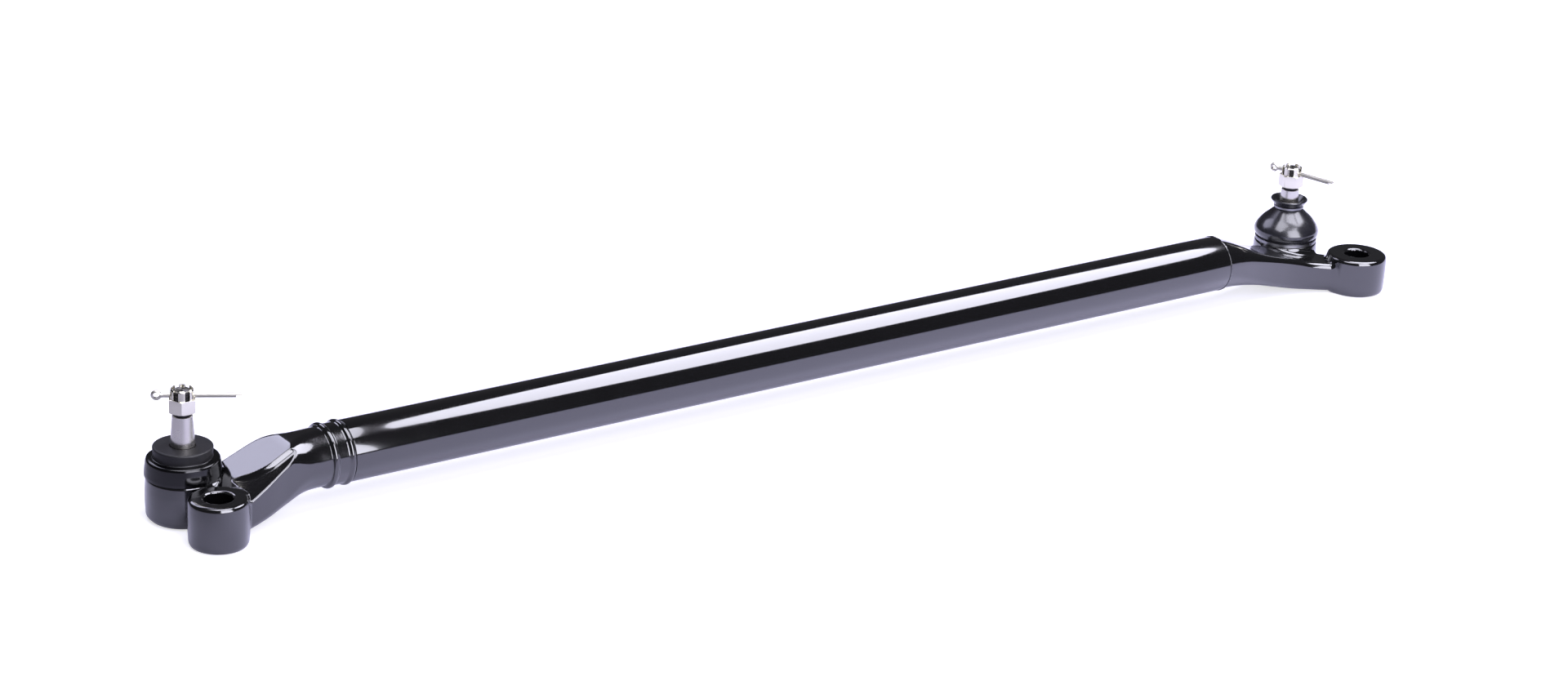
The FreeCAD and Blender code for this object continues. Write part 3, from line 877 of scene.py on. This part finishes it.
    def cavity(self, x: np.ndarray, y: np.ndarray, z: np.ndarray) -> np.ndarray:
        """Distance to the housing's hollows and the conical throat for the stud.

        Args:
            x, y, z: Coordinates of the points.

        Returns:
            Distance of each point, below 0 where steel is cut away.
        """
        r = np.hypot(x - self.joint[0], y - self.joint[1])
        cone = r - self.throat_radius - (z - self.throat_foot) * self.throat_spread
        cut = np.maximum(cone / math.hypot(1, self.throat_spread), self.throat_foot - z)
        for radius, foot, top in self.hollows:
            cut = np.minimum(cut, np.maximum(r - radius, np.maximum(foot - z, z - top)))
        return cut

    def bore(self, x: np.ndarray, y: np.ndarray, z: np.ndarray) -> np.ndarray:
        """Distance to the eye's tapered hole, 1 in 8, with its countersink.

        Args:
            x, y, z: Coordinates of the points.

        Returns:
            Distance of each point, below 0 in the hole.
        """
        r = np.hypot(x - self.eye[0], y - self.eye[1])
        cone = r - self.eye_mouth + (self.eye_height - z) / 16
        countersink = (r - self.eye_mouth - (z - self.eye_height + 1.0)) * math.sqrt(0.5)
        return np.minimum(cone, countersink)

    def build(self) -> bpy.types.Object:
        """Make the forging from its distance field.

        Returns:
            The forging, riding on the link.
        """
        word = self.side.word
        low, high = (np.array(corner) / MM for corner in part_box(word + "_forged_end"))
        piece = field_object(word + "_forging", self.shape, low - self.margin, high + self.margin,
                             self.pitch)
        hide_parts(word + "_forged_end")
        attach(piece, "link")
        dress(piece, FORGED_ENAMEL)
        return piece


LEFT_STATIONS = (
    (26.0, 2.0, -24.0, 24.0, 6.0),
    (33.0, 4.0, -28.0, 25.0, 5.5),
    (43.0, 8.5, -26.5, 22.5, 5.5),
    (51.0, 13.0, -23.0, 21.0, 9.0),
    (54.2, 14.6, -20.6, 20.4, 18.0),
)
RIGHT_STATIONS = (
    (49.2, 15.2, -18.2, 19.6, 14.0),
    (41.0, 13.6, -16.4, 20.5, 8.0),
    (34.6, 9.6, -15.8, 23.5, 5.0),
    (30.0, 5.2, -16.8, 26.0, 4.6),
    (25.6, 2.6, -21.5, 22.0, 4.6),
    (23.8, 1.6, -31.0, 6.0, 4.6),
    (23.0, 1.2, -40.0, -12.0, 4.6),
)


@dataclass
class DustBoot:
    """A rubber boot between the housing and the stud."""

    side: Side
    spacing: float = 0.7 * MM
    around: int = 200
    still_foot: float = 3.0 * MM
    matte_top: float = 7.2 * MM

    @property
    def stiff_top(self) -> float:
        """Height at the top of the boot, 7 mm on the left and 10 mm on the right."""
        return 7.0 * MM if self.side is Side.LEFT else 10.0 * MM

    def outline(self) -> np.ndarray:
        """Round and divide the outline of this side's boot.

        Returns:
            Closed outline, rows of (radius, height) in metres.
        """
        low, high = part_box(self.side.word + "_dust_boot")
        foot, top = low.z, high.z
        rim = (high.x - low.x) / 2
        if self.side is Side.LEFT:
            corners = self.pressed(rim / MM, (top - foot) / MM)
        else:
            corners = self.standing(rim / MM, (top - foot) / MM)
        radius, height, rounding = np.array(corners).T * MM
        rounded = rounded_outline(list(zip(radius, height + foot)), rounding, steps=9)
        return dense_outline(rounded, self.spacing)

    def pressed(self, rim: float, top: float) -> list[tuple[float, float, float]]:
        """Corners of the pressed-down boot: an upright band, a step and a flat top.

        Args:
            rim: Radius of the widest place, in millimetres.
            top: Height of the boot, in millimetres.

        Returns:
            Rows of radius, height above the foot and rounding, in millimetres.
        """
        step = top - 8.0
        return [
            (21.05, 0.0, 0.2), (23.2, 0.0, 0.2), (23.2, 2.35, 0.2), (24.55, 2.35, 0.2), (24.55, 0.0, 0.2),
            (rim - 0.1, 0.0, 0.4), (rim, 2.0, 2.0), (rim - 0.5, 7.0, 8.0), (rim - 1.3, step - 0.1, 2.4),
            (rim - 6.2, step + 0.2, 1.0),
            (rim - 5.7, top - 0.6, 1.2), (rim - 7.0, top, 1.6), (8.66, top, 0.4), (8.66, top - 3.8, 0.3),
            (10.9, top - 3.8, 0.3), (10.9, top - 1.8, 0.5), (rim - 7.6, top - 1.8, 1.0),
            (rim - 7.8, step - 0.8, 1.0), (rim - 4.0, step - 2.2, 1.0), (rim - 2.2, step - 4.0, 1.5),
            (rim - 1.8, 6.0, 2.0), (21.05, 3.6, 0.5),
        ]

    def standing(self, rim: float, top: float) -> list[tuple[float, float, float]]:
        """Corners of the standing boot: rounded foot, full dome, neck and flared open lip.

        Args:
            rim: Radius of the widest place, in millimetres.
            top: Height of the boot, in millimetres.

        Returns:
            Rows of radius, height above the foot and rounding, in millimetres.
        """
        neck = top - 7.2
        return [
            (21.05, 0.0, 0.2), (23.2, 0.0, 0.2), (23.2, 2.7, 0.2), (rim - 0.9, 4.4, 2.5), (rim, 6.6, 6.0),
            (rim, 9.4, 12.0), (rim - 1.6, 12.9, 25.0), (rim - 5.4, 18.0, 30.0), (12.4, neck - 2.2, 6.0),
            (10.5, neck - 0.6, 0.8), (10.5, neck + 1.6, 0.8), (11.9, neck + 2.2, 0.8),
            (14.7, top - 0.9, 0.7), (14.3, top, 0.5), (13.4, top - 0.1, 0.5), (8.4, neck + 1.0, 1.0),
            (8.35, neck - 2.0, 1.0), (11.4, neck - 4.6, 2.0), (rim - 7.8, 17.4, 12.0),
            (rim - 3.9, 12.2, 12.0), (rim - 2.0, 8.0, 3.0), (rim - 2.8, 5.8, 1.5), (21.05, 3.6, 0.5),
        ]

    def build(self) -> bpy.types.Object:
        """Make the boot, turned about the stud's axis with uneven rubber.

        Returns:
            The boot, with its transform applied to its mesh.
        """
        word = self.side.word
        low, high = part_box(word + "_dust_boot")
        axis = box_axis(word + "_ball_stud")

        def sag(r: np.ndarray, z: np.ndarray, angle: np.ndarray) -> tuple[np.ndarray, np.ndarray]:
            """Uneven rubber: the radius swells and shrinks by a few waves round the axis.

            Args:
                r, z: Radius and height of the points.
                angle: Their angle about the axis.

            Returns:
                New radius and height.
            """
            share = smooth_step((z - low.z - self.still_foot) / (10 * MM))
            share = share * smooth_step((high.z - z) / (12 * MM))
            uneven = 0.25 * np.sin(2 * angle + 0.7) + 0.15 * np.sin(5 * angle + 2.0)
            return r + share * (uneven + 0.08 * np.sin(9 * angle)) * MM, z

        piece = turned(word + "_boot", axis, self.outline(), self.around, sag)
        if self.side is Side.LEFT:
            edge, blur = high.z - self.matte_top, 0.8 * MM
            mark(piece, "polish", lambda x, y, z: smooth_step((edge - z) / blur))
        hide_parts(word + "_dust_boot")
        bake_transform(piece)
        dress(piece, MATTE_RUBBER if self.side is Side.LEFT else SATIN_RUBBER)
        return piece


@dataclass
class BallStud:
    """The ball stud, with its ground taper and its rolled thread."""

    side: Side
    neck: float = 7.5 * MM
    shoulder: float = 8.36 * MM
    taper_end: float = 6.8 * MM
    groove: float = 5.5 * MM
    thread: float = 6.0 * MM
    pitch: float = 1.25 * MM
    depth: float = 0.68 * MM
    rows_per_turn: int = 10
    around: int = 96

    def build(self) -> bpy.types.Object:
        """Make the stud between the CAD node's own ends.

        The outline, ball, neck, taper, groove and thread, is turned about the axis. On the
        threaded part the radius falls by the depth of the thread times a triangle wave of
        height over pitch less the angle's share of a turn, which winds one groove up the stud.

        Returns:
            The stud, riding on its own body.
        """
        word = self.side.word
        low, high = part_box(word + "_ball_stud")
        nut_low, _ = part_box(word + "_castle_nut")
        axis = box_axis(word + "_ball_stud")
        ball = (high.x - low.x) / 2
        centre = low.z + ball
        seat = nut_low.z
        end = high.z
        polar = np.linspace(-math.pi / 2, math.acos(self.neck / ball), 40)
        sphere = np.stack([ball * np.cos(polar), centre + ball * np.sin(polar)], axis=1)
        shank = np.array([
            (self.neck, centre + 18.0 * MM), (self.neck + 0.3 * MM, centre + 19.0 * MM),
            (self.shoulder - 0.2 * MM, centre + 20.2 * MM), (self.shoulder, centre + 20.8 * MM),
            (self.shoulder, seat - 25.0 * MM), (self.taper_end, seat - 3.0 * MM),
            (self.taper_end - 0.2 * MM, seat - 2.8 * MM), (self.groove, seat - 2.5 * MM),
            (self.groove - 0.1 * MM, seat - 0.4 * MM), (self.thread, seat - 0.05 * MM)])
        rows = int((end - seat) / self.pitch * self.rows_per_turn)
        heights = np.linspace(seat, end - 0.9 * MM, rows)
        screw = np.stack([np.full(rows, self.thread), heights], axis=1)
        tip = np.array([(self.thread - 0.9 * MM, end), (0.0, end)])
        outline = np.vstack([sphere, shank, screw, tip])

        def wind(r: np.ndarray, z: np.ndarray, angle: np.ndarray) -> tuple[np.ndarray, np.ndarray]:
            """Cut the thread: a triangle wave that climbs one pitch in a turn.

            Args:
                r, z: Radius and height of the points.
                angle: Their angle about the axis.

            Returns:
                New radius and height.
            """
            phase = (z / self.pitch - angle / (2 * math.pi)) % 1.0
            wave = np.abs(2 * phase - 1)
            on_thread = (z > seat) & (z < end - 0.5 * MM) & (r > 0.9 * self.thread)
            return r - on_thread * wave * self.depth, z

        def thread_dull_and_shaded(x: np.ndarray, y: np.ndarray, z: np.ndarray) -> np.ndarray:
            """Share of the thread, rougher and darkened as painted shade: above the taper, within its
            radius and below the end.

            Args:
                x, y, z: Coordinates of the points, in metres.

            Returns:
                Share from 0 to 1 of each point.
            """
            above = smooth_step((z - seat + 2.9 * MM) / (0.3 * MM))
            r = np.hypot(x - axis[0], y - axis[1])
            within = smooth_step((self.thread + 0.3 * MM - r) / (0.4 * MM))
            return above * within * smooth_step((end - 0.3 * MM - z) / (0.3 * MM))

        piece = turned(word + "_turned_stud", axis, outline, self.around, wind)
        # The thread's share gives the steel a darker colour there: painted shade for the nut's slots and
        # the groove under it.
        mark(piece, "thread", thread_dull_and_shaded)
        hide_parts(word + "_ball_stud")
        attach(piece, word + "_stud")
        dress(piece, TURNED_STEEL)
        return piece


@dataclass
class CastleNut:
    """The slotted nut on a stud, cold forged, with small rounded edges."""

    side: Side
    edge: float = 0.35 * MM

    def build(self) -> bpy.types.Object:
        """Make the nut from its CAD shape.

        Returns:
            The nut, riding on the stud.
        """
        word = self.side.word
        piece = dressed_copy(word + "_castle_nut", word + "_slotted_nut", self.edge, segments=3)
        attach(piece, word + "_stud")
        dress(piece, ZINC)
        return piece


@dataclass
class SplitPin:
    """A split pin: half-round wire, folded to a loop at its head, both legs straight."""

    side: Side
    radius: float = 1.55 * MM
    head: float = 14.5 * MM
    tail: float = 39.0 * MM
    loop: float = 2.6 * MM
    short_leg: float = 4.0 * MM
    slit: float = 0.12 * MM

    def build(self) -> bpy.types.Object:
        """Carry the half-round section along the folded wire.

        Leg, loop and leg lie in one upright plane. The loop is an arc of 304 degrees whose
        ends meet the legs, and the flat side of the section faces the other leg.

        Returns:
            The pin, riding on the stud.
        """
        word = self.side.word
        low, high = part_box(word + "_cotter_pin")
        x, y = box_axis(word + "_ball_stud")
        height = (low.z + high.z) / 2
        along = np.array([math.cos(self.side.pin_azimuth), math.sin(self.side.pin_azimuth), 0.0])
        up = np.array([0.0, 0.0, 1.0])
        side = np.cross(along, up)
        centre = np.array([x, y, height])
        mid = self.radius / 2 * 0.85
        turn = np.radians(np.linspace(28, 332, 40))
        loop_centre = -self.head - self.loop * math.cos(turn[0])
        loop = np.stack([loop_centre + self.loop * np.cos(turn), self.loop * np.sin(turn)], axis=1)
        root, steps = -self.head + 1.2 * MM, 30
        upper = [np.linspace(self.tail, root, steps), np.full(steps, mid)]
        lower = [np.linspace(root, self.tail - self.short_leg, steps), np.full(steps, -mid)]
        flat = np.vstack([np.transpose(upper), loop, np.transpose(lower)])
        path = centre + flat[:, :1] * along + flat[:, 1:] * up
        angle = np.linspace(0, math.pi, 12)
        rise = self.radius * np.sin(angle) - mid + self.slit
        section = np.stack([self.radius * np.cos(angle), rise], axis=1)
        piece = swept(word + "_split_pin", path, section * [1, -1], side)
        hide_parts(word + "_cotter_pin")
        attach(piece, word + "_stud")
        dress(piece, WIRE)
        return piece


@dataclass
class InnerPieces:
    """The pieces of a ball joint that keep their CAD shape: cap, spring, seats and rings."""

    side: Side
    finishes: dict[str, Finish] = field(default_factory=lambda: {
        "_socket_cap": FORGED_ENAMEL,
        "_preload_spring": SPRING_STEEL,
        "_lower_seat": ACETAL,
        "_ball_seat": ACETAL,
        "_boot_base_ring": OXIDISED_STEEL,
        "_boot_neck_ring": OXIDISED_STEEL,
    })

    def build(self) -> list[bpy.types.Object]:
        """Give each CAD node its finish.

        Returns:
            The nodes.
        """
        pieces = []
        for ending, finish in self.finishes.items():
            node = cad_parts[self.side.word + ending]
            dress(node, finish)
            pieces.append(node)
        return pieces


@dataclass(frozen=True)
class Softbox:
    """One soft lamp of the studio, in metres, with the brightness of its face."""

    name: str
    place: tuple[float, float, float]
    aim: tuple[float, float, float]
    size: tuple[float, float]
    brightness: float
    colour: str = "#f1f0ff"
    shape: str = "RECTANGLE"

    def build(self) -> None:
        """Hang the lamp, facing the point that it aims at.

        The power is pi times the area of the face times its brightness.
        """
        lamp = bpy.data.lights.new(self.name, "AREA")
        lamp.shape = self.shape
        lamp.size, lamp.size_y = self.size
        area = self.size[0] * self.size[1] * (math.pi / 4 if self.shape == "ELLIPSE" else 1)
        lamp.energy = math.pi * area * self.brightness
        lamp.color = linear(self.colour)[:3]
        holder = placed(self.name, lamp)
        holder.location = self.place
        facing = Vector(self.aim) - Vector(self.place)
        holder.rotation_euler = facing.to_track_quat("-Z", "Y").to_euler()


# The main lamp hangs past the right end and draws the long streak on the tube. Two more light
# the left end from above and from behind, and a tall one ahead lights the fronts.
SOFTBOXES = (
    Softbox("main_softbox", (1.08, -0.20, 1.50), (1.08, -0.20, 0.0), (1.50, 1.60), 7.1, shape="ELLIPSE"),
    Softbox("left_overhead_softbox", (-0.40, -0.25, 1.52), (-0.40, -0.25, 0.0), (1.20, 1.10), 5.5),
    Softbox("left_rear_softbox", (-0.46, 1.25, 1.17), (-0.46, 0.0, 0.04), (0.90, 0.80), 3.1, "#e4e3ff"),
    Softbox("front_softbox", (-0.25, -4.00, 2.80), (-0.25, 0.0, 2.80), (3.10, 5.00), 7.0),
)


@dataclass
class Studio:
    """Pale floor, soft lights and the camera at the photograph's viewing angle.

    Angles are in degrees and places in metres. The camera sees the paper with floor_glow added,
    and gloss mirrors it with mirrored_glow added. Where gloss mirrors the paper past the left
    end, its colour falls smoothly to the share called shade.
    """

    lens: float = 86.27
    sensor: float = 36.0
    azimuth: float = 36.06
    elevation: float = 21.22
    roll: float = 2.70
    distance: float = 2.833
    target: tuple[float, float, float] = (0.02985, 0.09015, 0.0)
    floor_size: float = 30.0
    floor_glow: float = 0.68
    mirrored_glow: float = 0.18
    shade: float = 0.5
    shade_start: float = -0.62
    shade_end: float = -0.45
    air: float = 0.06
    paper_colour: str = "#bbbacb"
    glow_colour: str = "#ffffff"
    mirrored_colour: str = "#e2e0fd"
    air_colour: str = "#f4f3ff"

    def build(self) -> None:
        """Make the floor, the lights, the world and the camera."""
        self.floor()
        for softbox in SOFTBOXES:
            softbox.build()
        self.world()
        self.camera()

    def floor(self) -> None:
        """Lay a pale matte floor under the link, which the camera sees nearly white."""
        half = self.floor_size / 2
        corners = np.array([(-half, -half, 0), (half, -half, 0), (half, half, 0), (-half, half, 0)])
        floor = mesh_object("studio_floor", corners, [[0, 1, 2, 3]])
        made = bpy.data.materials.new("floor_paper")
        tree = empty_tree(made)
        place = add_node(tree, "ShaderNodeTexCoord", {})
        along = add_node(tree, "ShaderNodeSeparateXYZ", {0: place.outputs["Object"]})
        shade = add_node(tree, "ShaderNodeMapRange", {
            "Value": along.outputs["X"], "From Min": self.shade_start, "From Max": self.shade_end,
            "To Min": self.shade, "To Max": 1.0}, interpolation_type="SMOOTHSTEP")
        ray = add_node(tree, "ShaderNodeLightPath", {})
        lilac = linear(self.paper_colour)
        shaded = add_node(tree, "ShaderNodeVectorMath", {0: lilac[:3], "Scale": shade.outputs["Result"]},
                          operation="SCALE")
        colour = add_node(tree, "ShaderNodeMix", {0: ray.outputs["Is Glossy Ray"], 6: lilac,
                                                  7: shaded.outputs["Vector"]}, data_type="RGBA")
        lit = add_node(tree, "ShaderNodeBsdfDiffuse", {"Color": colour.outputs[2]}).outputs["BSDF"]
        for kind, strength, tone in (("Is Camera Ray", self.floor_glow, self.glow_colour),
                                     ("Is Glossy Ray", self.mirrored_glow, self.mirrored_colour)):
            share = add_node(tree, "ShaderNodeMath", {0: ray.outputs[kind], 1: strength},
                             operation="MULTIPLY")
            glow = add_node(tree, "ShaderNodeEmission", {
                "Color": linear(tone), "Strength": share.outputs[0]})
            both = add_node(tree, "ShaderNodeAddShader", {0: lit, 1: glow.outputs["Emission"]})
            lit = both.outputs["Shader"]
        add_node(tree, "ShaderNodeOutputMaterial", {"Surface": lit})
        floor.data.materials.append(made)

    def world(self) -> None:
        """Fill the studio with a faint even light."""
        world = bpy.data.worlds.new("studio_air")
        bpy.context.scene.world = world
        tree = empty_tree(world)
        air = add_node(tree, "ShaderNodeBackground", {
            "Color": linear(self.air_colour), "Strength": self.air})
        add_node(tree, "ShaderNodeOutputWorld", {"Surface": air.outputs["Background"]})

    def camera(self) -> None:
        """Place the camera by its azimuth, elevation and roll about its aim."""
        azimuth, elevation, roll = (math.radians(a) for a in (self.azimuth, self.elevation, self.roll))
        forward = Vector((math.sin(azimuth) * math.cos(elevation),
                          math.cos(azimuth) * math.cos(elevation), -math.sin(elevation)))
        level = Vector((math.cos(azimuth), -math.sin(azimuth), 0.0))
        upright = level.cross(forward)
        right = level * math.cos(roll) + upright * math.sin(roll)
        top = upright * math.cos(roll) - level * math.sin(roll)
        data = bpy.data.cameras.new("photo_camera")
        data.lens, data.sensor_width = self.lens, self.sensor
        camera = placed("photo_camera", data)
        rotation = [(right[i], top[i], -forward[i]) for i in range(3)]
        place = Vector(self.target) - forward * self.distance
        camera.matrix_world = Matrix([(*rotation[i], place[i]) for i in range(3)] + [(0, 0, 0, 1)])
        bpy.context.scene.camera = camera


def report(piece: bpy.types.Object) -> None:
    """Log a piece's name and its count of faces."""
    LOG.info("%s: %d faces", piece.name, len(piece.data.polygons))


def main() -> None:
    """Build the link piece by piece, logging each piece's faces, then the studio."""
    logging.basicConfig(level=logging.INFO, format="%(name)s: %(message)s")
    bpy.context.scene.view_settings.view_transform = "Standard"
    report(CenterTube().build())
    forgings = {
        Side.LEFT: ForgedEnd(Side.LEFT, LEFT_STATIONS, eye_ahead=0.0, eye_offset=24.7,
                             eye_radius=20.8, eye_height=33.2, reach=104.4),
        Side.RIGHT: ForgedEnd(Side.RIGHT, RIGHT_STATIONS, eye_ahead=28.8, eye_offset=26.6,
                              eye_radius=24.2, eye_height=30.2, reach=129.1),
    }
    for side in Side:
        for part in (forgings[side], DustBoot(side), BallStud(side), CastleNut(side), SplitPin(side)):
            report(part.build())
        for piece in InnerPieces(side).build():
            report(piece)
    Studio().build()


if __name__ == "__main__":
    main()
